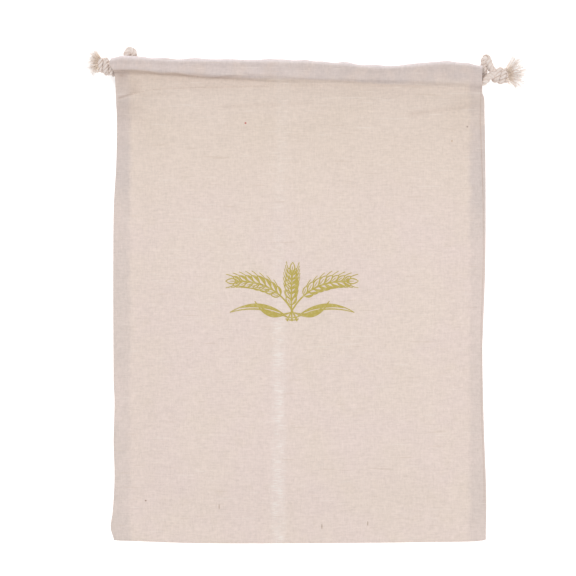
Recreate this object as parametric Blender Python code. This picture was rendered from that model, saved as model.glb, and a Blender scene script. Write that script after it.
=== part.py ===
"""Linen bread bag with a double drawstring, lying on its back on a table.

Metres, +Z up. +X runs to the right and +Y to the mouth, as the front of the bag is read.
The origin is at the middle of the back panel's underside, which lies flat on the table.
"""

import math
import random
from collections import namedtuple

import bmesh
import bpy
from mathutils import Vector

# The cloth: one length of linen, folded at the foot, sewn up both sides, with a hem round the mouth.
CLOTH = 0.0010  # one layer
SEAM_WIDTH = 0.0104  # turnings inside each side seam
SEAM_STACK = 0.0030  # four layers pressed together at a side seam
FOLD_GAP = 0.0006  # between the layers at the foot and beside the seams
LOFT = 0.0118  # underside of the front over the table, in the middle
SIDE_SLOPE = 0.046  # width over which the front rises from a side seam
MOUTH_SLOPE = 0.030  # the same, close to the mouth
FOOT_SLOPE = 0.072  # length over which the front rises from the foot
HEM_RISE = 0.022  # length over which the front meets the hem
RIGHT_DROOP = 0.0026  # how far the front hem sinks at its right end
RIGHT_DROOP_SPAN = (0.1000, 0.1470)  # from where to where it sinks
LEFT_DROOP = 0.0012
LEFT_DROOP_SPAN = (-0.1340, -0.1520)
MOUTH_SLOPE_SPAN = (0.0600, 0.1500)  # where the slope beside the seams narrows towards the mouth
WAVE = 0.0004  # soft unevenness of the laid front
WAVE_ACROSS = 0.021  # width and length of one radian of it
WAVE_ALONG = 0.034
WAVE_FADE = 0.03  # distance from the seams and the foot over which it fades out

# The drawstrings, and the room they have in the hems.
CORD = 0.0040
CORD_ROOM = 0.0004
TWIST_DEPTH = 0.09  # share of the radius by which the three strands stand out
TWIST_LAY = 0.014  # length of one turn of the twist
TUNNEL = CORD / 2 + CORD_ROOM
HEM_HALF = TUNNEL + CLOTH  # half the thickness of a hem over its cord

# Where the inner layers of the hems stop at the open ends, so that the cords can turn.
LEFT_FRONT_STOP = -0.1262
LEFT_BACK_STOP = -0.1155
RIGHT_STOP = 0.1350
LEFT_BACK_END = -0.1430
STEP = 0.0010  # width of the cut edge at each stop

# Outline of the bag. Each row is (place along the edge, place of the edge).
LEFT_EDGE = (
    (-0.1936, -0.1500), (-0.1847, -0.1525), (-0.1727, -0.1509), (-0.1450, -0.1493),
    (-0.1150, -0.1501), (-0.0830, -0.1493), (-0.0640, -0.1501), (0.0688, -0.1501),
    (0.1170, -0.1477), (0.1710, -0.1477), (0.1830, -0.1490), (0.1870, -0.1510),
    (0.1905, -0.1525), (0.1960, -0.1512),
)
RIGHT_EDGE = (
    (-0.1912, 0.1505), (-0.1600, 0.1509), (-0.1150, 0.1493), (-0.0880, 0.1485),
    (-0.0398, 0.1477), (-0.0157, 0.1485), (0.0326, 0.1501), (0.1170, 0.1501),
    (0.1530, 0.1493), (0.1630, 0.1485), (0.1670, 0.1469), (0.1890, 0.1469),
)
FOOT_EDGE = (
    (-0.1509, -0.1928), (-0.1477, -0.1936), (-0.1284, -0.1944), (-0.0800, -0.1960),
    (0.0165, -0.1960), (0.0970, -0.1952), (0.1420, -0.1944), (0.1500, -0.1928),
)
MOUTH_EDGE = (
    (-0.1509, 0.1944), (-0.1420, 0.1960), (-0.1284, 0.1960), (-0.0962, 0.1944),
    (0.0004, 0.1932), (0.0326, 0.1912), (0.0648, 0.1888), (0.0970, 0.1904),
    (0.1130, 0.1920), (0.1370, 0.1912), (0.1475, 0.1890),
)
# Lines across the hem. Each row is (x, y).
HEM_STITCH = (
    (-0.1500, 0.1635), (-0.1330, 0.1660), (-0.1150, 0.1695), (-0.0480, 0.1715),
    (0.0100, 0.1728), (0.0700, 0.1722), (0.1000, 0.1712), (0.1250, 0.1700), (0.1500, 0.1680),
)
FRONT_LOWER_CORD = (
    (-0.1500, 0.1868), (-0.1200, 0.1860), (-0.0480, 0.1815), (0.0400, 0.1782),
    (0.1000, 0.1768), (0.1250, 0.1755), (0.1500, 0.1735),
)
BACK_LOWER_CORD = ((-0.1500, 0.1872), (-0.0480, 0.1832), (0.0400, 0.1803), (0.1500, 0.1785))
# The pressed crease down the front. Each row is (y, x).
CREASE = ((-0.1960, -0.0165), (0.0400, -0.0168), (0.1700, -0.0125))
CREASE_HEIGHT = 0.0005
CREASE_HALF = 0.0040

# Nominal outline that the grid's columns and rows are spaced over, from the middle of the bag.
HALF_WIDTH = 0.1485
FOOT = -0.1950
SEAM_LINE = HALF_WIDTH - SEAM_WIDTH
EDGE_FULLNESS = (0.2, 0.8, 1.0)  # share of the thickness on the three outermost columns and rows
SIDE_REACH = 0.125  # how far into the bag each uneven side moves the cloth
FOOT_REACH = 0.160

# Columns of the grid: the edge, the seam, the slopes, the ends of the hems and the crease.
CREASE_COLUMNS = (-0.0205, -0.0165, -0.0125)
COLUMNS = (
    -0.1485, -0.1479, -0.1465, LEFT_BACK_END - STEP / 2, LEFT_BACK_END + STEP / 2, -0.1393,
    -0.1381, LEFT_FRONT_STOP - STEP / 2, LEFT_FRONT_STOP + STEP / 2, LEFT_BACK_STOP - STEP / 2,
    LEFT_BACK_STOP + STEP / 2, -0.1030, -0.0880, -0.0680, -0.0440, *CREASE_COLUMNS,
    0.0120, 0.0280, 0.0440, 0.0600, 0.0760, 0.0920, 0.1060, 0.1200,
    RIGHT_STOP - STEP / 2, RIGHT_STOP + STEP / 2, 0.1381, 0.1393, 0.1465, 0.1479, 0.1485,
)
# Rows of the grid, from the foot up to the hem.
ROWS_UP = (
    0.0, 0.0006, 0.0020, 0.0070, 0.0150, 0.0260, 0.0400, 0.0560, 0.0720, 0.1200, 0.1700,
    0.2200, 0.2700, 0.3100,
)

LIP_SHARES = (0.4, 0.7, 0.92, 1.0)  # rows round the fold at the mouth, as shares of the way to it

FLAT_ENOUGH = math.radians(0.4)  # faces that meet at less are one face
PAST = 0.0120  # how far a cutter reaches past the cloth
LIP_FLAT = 0.0003  # half of what is left flat along each hem's fold
LANE_TURN = 37.5  # degrees between the corners of a tunnel's round lanes

# The left drawstring: its knot is at the left, and it turns round inside the right end of the hems.
# Each row is (x, y, z), between the two runs through the hems.
LEFT_CORD_START = (
    (-0.1478, 0.1910, 0.0106), (-0.1440, 0.1921, 0.0126), (-0.1390, 0.1926, 0.0144),
)
LEFT_CORD_TURN = (
    (0.1340, 0.1880, 0.0130), (0.1385, 0.1875, 0.0123), (0.1416, 0.1871, 0.0106),
    (0.1427, 0.1870, 0.0080), (0.1416, 0.1871, 0.0053), (0.1385, 0.1875, 0.0037),
)
LEFT_CORD_END = (
    (-0.1435, 0.1925, 0.0034), (-0.1462, 0.1919, 0.0035), (-0.1480, 0.1909, 0.0039),
)
# The right drawstring: one end runs straight from the knot into the front hem, the other goes up
# over the mouth in a loop and into the back hem. Its turn stands out between the hems at the left.
RIGHT_CORD_START = (
    (0.1576, 0.1796, 0.0086), (0.1545, 0.1778, 0.0102), (0.1510, 0.1752, 0.0118),
    (0.1470, 0.1738, 0.0124),
)
RIGHT_CORD_TURN = (
    (-0.1260, 0.1863, 0.0152), (-0.1310, 0.1864, 0.0149), (-0.1355, 0.1871, 0.0130),
    (-0.1384, 0.1889, 0.0107), (-0.1393, 0.1914, 0.0090), (-0.1392, 0.1950, 0.0085),
    (-0.1388, 0.1988, 0.0085), (-0.1378, 0.2010, 0.0085), (-0.1362, 0.2019, 0.0085),
    (-0.1346, 0.2010, 0.0086), (-0.1336, 0.1988, 0.0087), (-0.1332, 0.1950, 0.0088),
    (-0.1330, 0.1921, 0.0085), (-0.1325, 0.1900, 0.0077), (-0.1312, 0.1884, 0.0063),
    (-0.1284, 0.1874, 0.0048), (-0.1240, 0.1869, 0.0037),
)
RIGHT_CORD_END = (
    (0.1440, 0.1787, 0.0034), (0.1470, 0.1790, 0.0036), (0.1492, 0.1806, 0.0044),
    (0.1494, 0.1845, 0.0058), (0.1491, 0.1900, 0.0072), (0.1493, 0.1940, 0.0080),
    (0.1502, 0.1966, 0.0084), (0.1517, 0.1971, 0.0084), (0.1532, 0.1950, 0.0084),
    (0.1545, 0.1912, 0.0083), (0.1558, 0.1875, 0.0082), (0.1578, 0.1846, 0.0082),
)
# The straight runs through the hems, each from one x to another.
LEFT_FRONT_RUN = (-0.1320, 0.1300)
LEFT_BACK_RUN = (0.1330, -0.1400)
RIGHT_FRONT_RUN = (0.1420, -0.1200)
RIGHT_BACK_RUN = (-0.1180, 0.1400)
OPEN_STEP = 0.0014  # spacing of the rings where the cord shows
TURN_STEP = 0.0024  # where it turns out of sight
HEM_STEP = 0.0180  # and inside the hems
CORD_SIDES = 9

# The overhand knots and their frayed ends.
KNOT_CORD = 0.0043
KNOT_REACH = 0.00148  # a third of the radius at which the cord winds round the knot
KNOT_RISE = 0.0024
KNOT_STATIONS = 24  # points round the winding
KNOT_GRAIN = 0.00125  # size of the faces on a knot
KNOT_SIDES = 8
STRAIGHT_NECK = 0.0012
NECK = 0.0003  # gap between a knot's neck and its cord
NECK_DEPTH = 0.75  # how far into the knot a neck reaches, as a share of the way to its middle
TAIL_RADIUS = 0.0027
LOCK_LENGTH = 0.0095
LOCK_LENGTHS = (0.65, 1.15)  # shortest and longest lock, as shares of that
LOCK_SPREAD = (0.75, 1.15)  # least and most that a lock leans outwards
LOCK_GAP = 0.00018  # half the space between two locks at their roots
LOCK_FLOOR = 0.0006  # the lowest that a lock's middle lies over the table
LOCK_DROOP = 0.35
LOCK_SHARE = 0.8  # of the faces on the tail's end, those that grow a lock
LOCK_SECTIONS = ((0.45, 0.9), (0.55, 0.45))  # each is (share of the length, width to the last)
ROOT_START = -0.0004  # how far ahead of the tail's end the locks begin
KNOTS = {
    "left": {
        "centre": (-0.1552, 0.1886, 0.0050), "turned": 0.5, "tail": (-0.1608, 0.1908, 0.0056),
        "fan": (-0.93, 0.30, 0.0), "seed": 5,
    },
    "right": {
        "centre": (0.1645, 0.1818, 0.0050), "turned": 2.2, "tail": (0.1712, 0.1820, 0.0056),
        "fan": (1.0, 0.02, 0.0), "seed": 8,
    },
}

Spot = namedtuple("Spot", "nominal x y rise kind")

COLOURS = {
    "linen": (0.80, 0.70, 0.62, 1.0),
    "cotton cord": (0.78, 0.68, 0.58, 1.0),
    "frayed cotton": (0.76, 0.63, 0.49, 1.0),
}


def ease(share):
    """0 below 0, 1 above 1, and a smooth rise between."""
    share = min(1.0, max(0.0, share))
    return share * share * (3.0 - 2.0 * share)


def mix(a, b, share):
    return a + (b - a) * share


def share_of(span, place):
    """How far a place is from the first end of a span to the second, as a share."""
    return (place - span[0]) / (span[1] - span[0])


def value_at(rows, place):
    """The smooth curve through a table of (place, value), read at one place."""
    if place <= rows[0][0]:
        return rows[0][1]
    if place >= rows[-1][0]:
        return rows[-1][1]
    i = max(k for k in range(len(rows) - 1) if rows[k][0] <= place)
    span = rows[i + 1][0] - rows[i][0]
    rise = rows[i + 1][1] - rows[i][1]

    def slope(k):
        before, after = rows[max(0, k - 1)], rows[min(len(rows) - 1, k + 1)]
        return (after[1] - before[1]) / (after[0] - before[0])

    s = (place - rows[i][0]) / span
    from_start = span * slope(i) * s * (1 - s) ** 2
    from_end = span * slope(i + 1) * s * s * (s - 1)
    return rows[i][1] + rise * s * s * (3 - 2 * s) + from_start + from_end


def upper_cord(x):
    """The upper cord lies against the fold at the mouth, in both hems."""
    return value_at(MOUTH_EDGE, x) - HEM_HALF


def front_lift(x):
    """Height of the front hem's inner face over the table."""
    right = RIGHT_DROOP * ease(share_of(RIGHT_DROOP_SPAN, x))
    left = LEFT_DROOP * ease(share_of(LEFT_DROOP_SPAN, x))
    return LOFT - right - left


def front_cord_height(x):
    return front_lift(x) + HEM_HALF


def hem_share(x, y):
    """0 on the open front, 1 where it reaches the hem."""
    start = value_at(HEM_STITCH, x) - HEM_RISE
    return ease((y - start) / (HEM_RISE - 0.001))


def ripple(x, y):
    """The pressed crease down the front, and a soft unevenness of the laid cloth."""
    from_crease = abs(x - value_at(CREASE, y)) / CREASE_HALF
    crease = CREASE_HEIGHT * max(0.0, 1.0 - from_crease)
    inside = ease((SEAM_LINE - abs(x)) / WAVE_FADE) * (1.0 - hem_share(x, y))
    wave = WAVE * math.sin(x / WAVE_ACROSS + 1.3) * math.sin(y / WAVE_ALONG + 0.4)
    return (crease + wave) * inside * ease((y - FOOT) / WAVE_FADE)


def front_inner(x, y):
    """Height of the front panel's inner face."""
    slope = mix(SIDE_SLOPE, MOUTH_SLOPE, ease(share_of(MOUTH_SLOPE_SPAN, y)))
    side = ease((SEAM_LINE - abs(x)) / slope)
    foot = ease((y - FOOT - 0.002) / FOOT_SLOPE)
    low = CLOTH + FOLD_GAP
    height = low + (LOFT - low) * side * foot + ripple(x, y)
    return mix(height, front_lift(x), hem_share(x, y))


def outline(x, y):
    """Moves a point of the nominal rectangle onto the bag's own uneven outline."""
    left = (value_at(LEFT_EDGE, y) + HALF_WIDTH) * ease(-x / SIDE_REACH)
    right = (value_at(RIGHT_EDGE, y) - HALF_WIDTH) * ease(x / SIDE_REACH)
    foot = (value_at(FOOT_EDGE, x) - FOOT) * ease(-y / FOOT_REACH)
    return x + left + right, y + foot


def hem_rows(x):
    """The rows of the hem at x, from below the stitching to the fold at the mouth.

    Each is (y, how far its top stands over the front panel's inner face, the kind of row).
    """
    stitch = value_at(HEM_STITCH, x)
    lower = value_at(FRONT_LOWER_CORD, x)
    upper = upper_cord(x)
    mouth = value_at(MOUTH_EDGE, x)
    flat = 2 * CLOTH
    full = 2 * HEM_HALF
    rows = [
        (stitch - HEM_RISE, CLOTH, "panel"),
        (stitch - 0.62 * HEM_RISE, CLOTH, "panel"),
        (stitch - 0.32 * HEM_RISE, CLOTH, "panel"),
        (stitch - 0.0012, CLOTH, "panel"),
        (stitch + 0.0004, flat, "flat"),
        (max(stitch + 0.0010, lower - 0.0070), flat, "flat"),
        (lower - 0.0030, HEM_HALF + 0.0016, "tunnel"),
        (lower - 0.0016, full - 0.0004, "tunnel"),
        (lower, full, "tunnel"),
        (lower + 0.0016, full - 0.0004, "tunnel"),
        ((lower + upper) / 2, full - 0.0011, "tunnel"),
        (upper - 0.0016, full - 0.0004, "tunnel"),
        (upper, full, "tunnel"),
    ]
    for share in LIP_SHARES:
        y = mix(upper, mouth, share)
        rows.append((y, HEM_HALF + HEM_HALF * math.sqrt(1 - share * share), "lip"))
    return rows


def cloth_grid():
    """Every spot of the grid, column by column."""
    grid = []
    for nominal in COLUMNS:
        line = []
        body = [(FOOT + up, CLOTH, "panel") for up in ROWS_UP]
        for k, (y, rise, kind) in enumerate(body + hem_rows(nominal)):
            drift = 0.0
            if nominal in CREASE_COLUMNS:
                drift = value_at(CREASE, y) - CREASE_COLUMNS[1]
            x, moved = outline(nominal + drift, y)
            line.append(Spot(nominal, x, moved if k < len(body) else y, rise, kind))
        grid.append(line)
    return grid


def widened(grid):
    """The same grid with one more column at each side and one more row past the mouth."""
    first = [spot._replace(nominal=spot.nominal - PAST, x=spot.x - PAST) for spot in grid[0]]
    last = [spot._replace(nominal=spot.nominal + PAST, x=spot.x + PAST) for spot in grid[-1]]
    wide = [first] + grid + [last]
    return [line + [line[-1]._replace(y=line[-1].y + PAST)] for line in wide]


def solid_between(name, grid, low, high, holds):
    """A closed solid between two heights at each spot, over the grid's cells that holds() keeps."""
    mesh = bmesh.new()
    lower, upper, sides = {}, {}, set()

    def vertex(store, height, at):
        if at not in store:
            spot = grid[at[0]][at[1]]
            store[at] = mesh.verts.new((spot.x, spot.y, height(*at)))
        return store[at]

    for i in range(len(grid) - 1):
        for j in range(len(grid[0]) - 1):
            if not holds(i, j):
                continue
            corners = [(i, j), (i + 1, j), (i + 1, j + 1), (i, j + 1)]
            mesh.faces.new([vertex(upper, high, at) for at in corners])
            mesh.faces.new([vertex(lower, low, at) for at in reversed(corners)])
            for a, b in zip(corners, corners[1:] + corners[:1]):
                if (b, a) in sides:
                    sides.remove((b, a))
                else:
                    sides.add((a, b))
    for a, b in sorted(sides):
        mesh.faces.new([lower[a], lower[b], upper[b], upper[a]])
    return finished(name, mesh)


def finished(name, mesh):
    """A mesh object made from a bmesh, with its faces turned outwards."""
    bmesh.ops.triangulate(mesh, faces=mesh.faces[:], quad_method="SHORT_EDGE")
    bmesh.ops.recalc_face_normals(mesh, faces=mesh.faces[:])
    data = bpy.data.meshes.new(name)
    mesh.to_mesh(data)
    mesh.free()
    obj = bpy.data.objects.new(name, data)
    bpy.context.scene.collection.objects.link(obj)
    return obj


def cut(obj, cutter):
    """Both meshes are closed here, which the manifold solver asks for."""
    cutter.hide_render = True
    cutter.display_type = "WIRE"
    modifier = obj.modifiers.new("cut " + cutter.name, "BOOLEAN")
    modifier.operation = "DIFFERENCE"
    modifier.solver = "MANIFOLD"
    modifier.object = cutter


def material(obj, name, roughness):
    made = bpy.data.materials.get(name) or bpy.data.materials.new(name)
    made.use_nodes = True
    shader = made.node_tree.nodes["Principled BSDF"]
    shader.inputs["Base Color"].default_value = COLOURS[name]
    shader.inputs["Roughness"].default_value = roughness
    shader.inputs["Metallic"].default_value = 0.0
    obj.data.materials.clear()
    obj.data.materials.append(made)


def full_height(spot):
    """Height of the front's outer face, before the edges are rounded."""
    if spot.kind != "panel":
        return front_lift(spot.x) + spot.rise
    if abs(spot.nominal) < SEAM_LINE:
        return front_inner(spot.x, spot.y) + spot.rise
    return mix(SEAM_STACK, front_lift(spot.x) + CLOTH, hem_share(spot.x, spot.y))


def make_blank():
    """The bag's outer form, still solid."""
    grid = cloth_grid()

    def fullness(i, j):
        columns_in = min(i, len(grid) - 1 - i)
        across = EDGE_FULLNESS[min(columns_in, 2)]
        across = mix(across, 1.0, hem_share(grid[i][j].x, grid[i][j].y))
        return across * EDGE_FULLNESS[min(j, 2)]

    def top(i, j):
        return full_height(grid[i][j]) * (1 + fullness(i, j)) / 2

    def bottom(i, j):
        spot = grid[i][j]
        if spot.kind == "lip":
            return 2 * HEM_HALF - spot.rise
        return full_height(spot) * (1 - fullness(i, j)) / 2

    return solid_between("bag_cloth", grid, bottom, top, lambda i, j: True)


def make_pocket():
    """The room inside the bag and between its hems, out past the mouth and the hems' open ends."""
    grid = widened(cloth_grid())
    first_hem_row = [spot.kind for spot in grid[0]].index("flat")

    def floor(i, j):
        spot = grid[i][j]
        if spot.kind == "panel":
            return CLOTH
        if spot.nominal < LEFT_BACK_END:
            return -CLOTH
        if spot.kind == "flat":
            return 2 * CLOTH
        if spot.nominal < LEFT_BACK_STOP or spot.nominal > RIGHT_STOP:
            return HEM_HALF
        return max(spot.rise, HEM_HALF + LIP_FLAT) if spot.kind == "lip" else 2 * HEM_HALF

    def ceiling(i, j):
        spot = grid[i][j]
        if spot.kind == "panel":
            return front_inner(spot.x, spot.y)
        if spot.kind == "flat":
            return front_lift(spot.x)
        if spot.nominal < LEFT_FRONT_STOP or spot.nominal > RIGHT_STOP:
            return front_cord_height(spot.x)
        if spot.kind == "lip":
            over = 2 * HEM_HALF - max(spot.rise, HEM_HALF + LIP_FLAT)
            return front_lift(spot.x) + over
        return front_lift(spot.x)

    def holds(i, j):
        middle = (grid[i][j].nominal + grid[i + 1][j].nominal) / 2
        return j >= first_hem_row or (abs(middle) < SEAM_LINE and j >= 2)

    return solid_between("cutter_pocket", grid, floor, ceiling, holds)


def make_tunnel(name, lower_cord, height):
    """The room for two cords inside one hem: two round lanes joined by a slot, from end to end."""
    turns = [math.radians(LANE_TURN * k) for k in range(-4, 5)]
    mesh = bmesh.new()
    rings = []
    inner = [x for x in COLUMNS if abs(x) < HALF_WIDTH - 0.006]
    for x in [-HALF_WIDTH - PAST] + inner + [HALF_WIDTH + PAST]:
        ring = []
        for centre, away in ((upper_cord(x), 1.0), (value_at(lower_cord, x), -1.0)):
            for turn in turns:
                y = centre + away * TUNNEL * math.cos(turn)
                z = height(x) + away * TUNNEL * math.sin(turn)
                ring.append(mesh.verts.new((x, y, z)))
        rings.append(ring)
    skin(mesh, rings)
    return finished(name, mesh)


def skin(mesh, rings):
    """Faces between rings of vertices, and a cap at each end."""
    for a, b in zip(rings, rings[1:]):
        for n in range(len(a)):
            m = (n + 1) % len(a)
            mesh.faces.new([a[n], a[m], b[m], b[n]])
    mesh.faces.new(list(reversed(rings[0])))
    mesh.faces.new(rings[-1])


def back_cord_height(x):
    return HEM_HALF


def make_cloth():
    """The bag's one piece of linen, with its pocket, its open mouth and the two hems."""
    bag = make_blank()
    cut(bag, make_pocket())
    cut(bag, make_tunnel("cutter_front_tunnel", FRONT_LOWER_CORD, front_cord_height))
    cut(bag, make_tunnel("cutter_back_tunnel", BACK_LOWER_CORD, back_cord_height))
    merge = bag.modifiers.new("merge flat faces", "DECIMATE")
    merge.decimate_type = "DISSOLVE"
    merge.angle_limit = FLAT_ENOUGH
    material(bag, "linen", 0.9)
    return bag


def hem_run(lower_cord, height, run):
    """Route points of one run through a hem. With no lower_cord it is the upper cord's run."""
    start, end = run
    low, high = sorted(run)
    between = sorted((x for x in COLUMNS if low < x < high), reverse=start > end)
    points = []
    for x in [start, *between, end]:
        y = value_at(lower_cord, x) if lower_cord else upper_cord(x)
        points.append((x, y, height(x)))
    return points


def smooth_route(stretches):
    """Points of one smooth curve through every stretch, as (point, how far the twist shows)."""
    route = []
    for points, step, twisted in stretches:
        route += [(Vector(point), step, twisted) for point in points]
    places = [0.0]
    for (a, _, _), (b, _, _) in zip(route, route[1:]):
        places.append(places[-1] + (b - a).length)

    def tangent(k):
        low, high = max(0, k - 1), min(len(route) - 1, k + 1)
        return (route[high][0] - route[low][0]) / (places[high] - places[low])

    read = []
    for k in range(len(route) - 1):
        (a, step_a, twist_a), (b, step_b, twist_b) = route[k], route[k + 1]
        span = places[k + 1] - places[k]
        count = max(1, round(span / max(step_a, step_b)))
        for n in range(count):
            s = n / count
            point = a * (1 + 2 * s) * (1 - s) ** 2 + b * s * s * (3 - 2 * s)
            point += span * (tangent(k) * s * (1 - s) ** 2 + tangent(k + 1) * s * s * (s - 1))
            read.append((point, mix(twist_a, twist_b, s)))
    read.append((route[-1][0], route[-1][2]))
    return read


def add_tube(mesh, read, radius, sides):
    """A closed tube along (point, twisted) pairs. Where twisted is 1 its three strands stand out."""
    rings = []
    frame = None
    turned = 0.0
    for k, (point, twisted) in enumerate(read):
        ahead = read[min(k + 1, len(read) - 1)][0] - read[max(k - 1, 0)][0]
        ahead.normalize()
        if frame is None:
            frame = ahead.orthogonal().normalized()
        else:
            frame = (frame - ahead * frame.dot(ahead)).normalized()
            turned += twisted * (point - read[k - 1][0]).length * 2 * math.pi / TWIST_LAY
        across = ahead.cross(frame)
        ring = []
        for side in range(sides):
            turn = 2 * math.pi * side / sides
            reach = radius * (1 + TWIST_DEPTH * twisted * math.cos(3 * turn))
            out = frame * math.cos(turn + turned) + across * math.sin(turn + turned)
            ring.append(mesh.verts.new(point + out * reach))
        rings.append(ring)
    skin(mesh, rings)


def make_cord(name, stretches):
    """A three-strand cord along its route, which it returns."""
    read = smooth_route(stretches)
    mesh = bmesh.new()
    add_tube(mesh, read, CORD / 2, CORD_SIDES)
    material(finished(name, mesh), "cotton cord", 0.85)
    return read


def make_left_cord():
    return make_cord(
        "drawstring_left",
        (
            (LEFT_CORD_START, OPEN_STEP, 1.0),
            (hem_run(None, front_cord_height, LEFT_FRONT_RUN), HEM_STEP, 0.0),
            (LEFT_CORD_TURN, TURN_STEP, 0.0),
            (hem_run(None, back_cord_height, LEFT_BACK_RUN), HEM_STEP, 0.0),
            (LEFT_CORD_END, OPEN_STEP, 1.0),
        ),
    )


def make_right_cord():
    return make_cord(
        "drawstring_right",
        (
            (RIGHT_CORD_START, OPEN_STEP, 1.0),
            (hem_run(FRONT_LOWER_CORD, front_cord_height, RIGHT_FRONT_RUN), HEM_STEP, 0.0),
            (RIGHT_CORD_TURN, OPEN_STEP, 1.0),
            (hem_run(BACK_LOWER_CORD, back_cord_height, RIGHT_BACK_RUN), HEM_STEP, 0.0),
            (RIGHT_CORD_END, OPEN_STEP, 1.0),
        ),
    )


def winding(knot):
    """The closed path of the cord in a knot, over and under itself three times."""
    cos, sin = math.cos(knot["turned"]), math.sin(knot["turned"])
    points = []
    for k in range(KNOT_STATIONS):
        t = 2 * math.pi * k / KNOT_STATIONS
        x = KNOT_REACH * (math.sin(t) + 2 * math.sin(2 * t))
        y = KNOT_REACH * (math.cos(t) - 2 * math.cos(2 * t))
        z = -KNOT_RISE * math.sin(3 * t)
        points.append(Vector(knot["centre"]) + Vector((x * cos - y * sin, x * sin + y * cos, z)))
    return points


def knot_body(name, knot, necks):
    """The wound cord, its two necks and the stub of its tail, fused into one mesh."""
    mesh = bmesh.new()
    centre, tail = Vector(knot["centre"]), Vector(knot["tail"])
    path = winding(knot)
    arc = KNOT_STATIONS // 3
    for first in range(0, KNOT_STATIONS, arc):
        points = [path[(first + k) % KNOT_STATIONS] for k in range(arc + 2)]
        add_tube(mesh, [(point, 0.0) for point in points], KNOT_CORD / 2, KNOT_SIDES)
    for end, away in necks:
        start = end - away * NECK
        points = (start, start - away * STRAIGHT_NECK, start.lerp(centre, NECK_DEPTH))
        add_tube(mesh, [(point, 0.0) for point in points], CORD / 2, KNOT_SIDES)
    add_tube(mesh, [(centre, 0.0), (tail, 0.0)], TAIL_RADIUS, KNOT_SIDES)
    body = finished(name + "_raw", mesh)
    fuse = body.modifiers.new("fuse", "REMESH")
    fuse.mode = "VOXEL"
    fuse.voxel_size = KNOT_GRAIN
    bpy.context.view_layer.update()
    graph = bpy.context.evaluated_depsgraph_get()
    fused = bpy.data.meshes.new_from_object(body.evaluated_get(graph))
    bpy.data.objects.remove(body, do_unlink=True)
    return fused


def grow_lock(mesh, root, knot, chance):
    """One four-sided lock of frayed fibres, grown out of a face of the tail."""
    fan, centre = Vector(knot["fan"]).normalized(), root.calc_center_median()
    out = (centre - Vector(knot["tail"])).normalized()
    length = LOCK_LENGTH * chance.uniform(*LOCK_LENGTHS)
    heading = (fan + out * chance.uniform(*LOCK_SPREAD)).normalized()
    bmesh.ops.inset_individual(mesh, faces=[root], thickness=LOCK_GAP)
    place, face = centre, root
    for share, width in LOCK_SECTIONS:
        place = place + heading * length * share
        place.z = max(place.z, LOCK_FLOOR)
        heading = (heading - Vector((0, 0, LOCK_DROOP))).normalized()
        face = bmesh.ops.extrude_discrete_faces(mesh, faces=[face])["faces"][0]
        middle = face.calc_center_median()
        for corner in face.verts:
            corner.co = place + (corner.co - middle) * width


def make_knot(name, knot, necks):
    """An overhand knot with the cord's end frayed into locks, all one solid."""
    fused = knot_body(name, knot, necks)
    mesh = bmesh.new()
    mesh.from_mesh(fused)
    bpy.data.meshes.remove(fused)
    tail, fan = Vector(knot["tail"]), Vector(knot["fan"]).normalized()
    roots = [f for f in mesh.faces if (f.calc_center_median() - tail).dot(fan) > ROOT_START]
    roots.sort(key=lambda face: tuple(face.calc_center_median()))
    chance = random.Random(knot["seed"])
    for root in roots:
        if chance.random() < LOCK_SHARE:
            grow_lock(mesh, root, knot, chance)
    material(finished(name, mesh), "frayed cotton", 0.9)


def necks_of(read):
    """Where each end of a cord meets its knot, and the way the cord leaves the knot there."""
    ends = []
    for first, second in ((read[0][0], read[1][0]), (read[-1][0], read[-2][0])):
        ends.append((first, (second - first).normalized()))
    return ends


def main():
    for obj in list(bpy.data.objects):
        bpy.data.objects.remove(obj, do_unlink=True)
    make_cloth()
    make_knot("knot_left", KNOTS["left"], necks_of(make_left_cord()))
    make_knot("knot_right", KNOTS["right"], necks_of(make_right_cord()))


main()
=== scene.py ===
"""Looks of the linen bread bag: cloth, drawstrings, knots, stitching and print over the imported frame.

Metres, in the frame's own axes: +X right, +Y to the mouth, +Z up out of the front panel.
"""

import math
import random

import bmesh
import bpy
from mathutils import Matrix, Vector


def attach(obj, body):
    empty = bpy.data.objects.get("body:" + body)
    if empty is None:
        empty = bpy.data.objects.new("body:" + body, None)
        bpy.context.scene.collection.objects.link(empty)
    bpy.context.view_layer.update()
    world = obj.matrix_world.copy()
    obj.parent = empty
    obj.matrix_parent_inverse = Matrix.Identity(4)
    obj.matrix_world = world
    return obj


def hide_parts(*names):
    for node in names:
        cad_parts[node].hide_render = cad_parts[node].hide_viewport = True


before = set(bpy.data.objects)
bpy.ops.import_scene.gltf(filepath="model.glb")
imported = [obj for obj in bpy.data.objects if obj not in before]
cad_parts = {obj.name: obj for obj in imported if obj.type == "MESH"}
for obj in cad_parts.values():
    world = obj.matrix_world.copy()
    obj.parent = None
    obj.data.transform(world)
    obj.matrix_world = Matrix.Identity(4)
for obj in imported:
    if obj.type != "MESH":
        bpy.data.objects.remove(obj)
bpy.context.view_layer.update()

# ---- Shared shape of the bag, as in the solids ----
CLOTH = 0.0010
SEAM_WIDTH = 0.0104
SEAM_STACK = 0.0030
FOLD_GAP = 0.0006
LOFT = 0.0118
SIDE_SLOPE = 0.046
MOUTH_SLOPE = 0.030
FOOT_SLOPE = 0.072
HEM_RISE = 0.022
RIGHT_DROOP = 0.0026
LEFT_DROOP = 0.0012
CORD = 0.0040
TUNNEL = CORD / 2 + 0.0004
HEM_HALF = TUNNEL + CLOTH
LEFT_FRONT_STOP = -0.1262
LEFT_BACK_STOP = -0.1155
RIGHT_STOP = 0.1350
LEFT_BACK_END = -0.1430
HALF_WIDTH = 0.1485
FOOT = -0.1950
SEAM_LINE = HALF_WIDTH - SEAM_WIDTH

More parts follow.
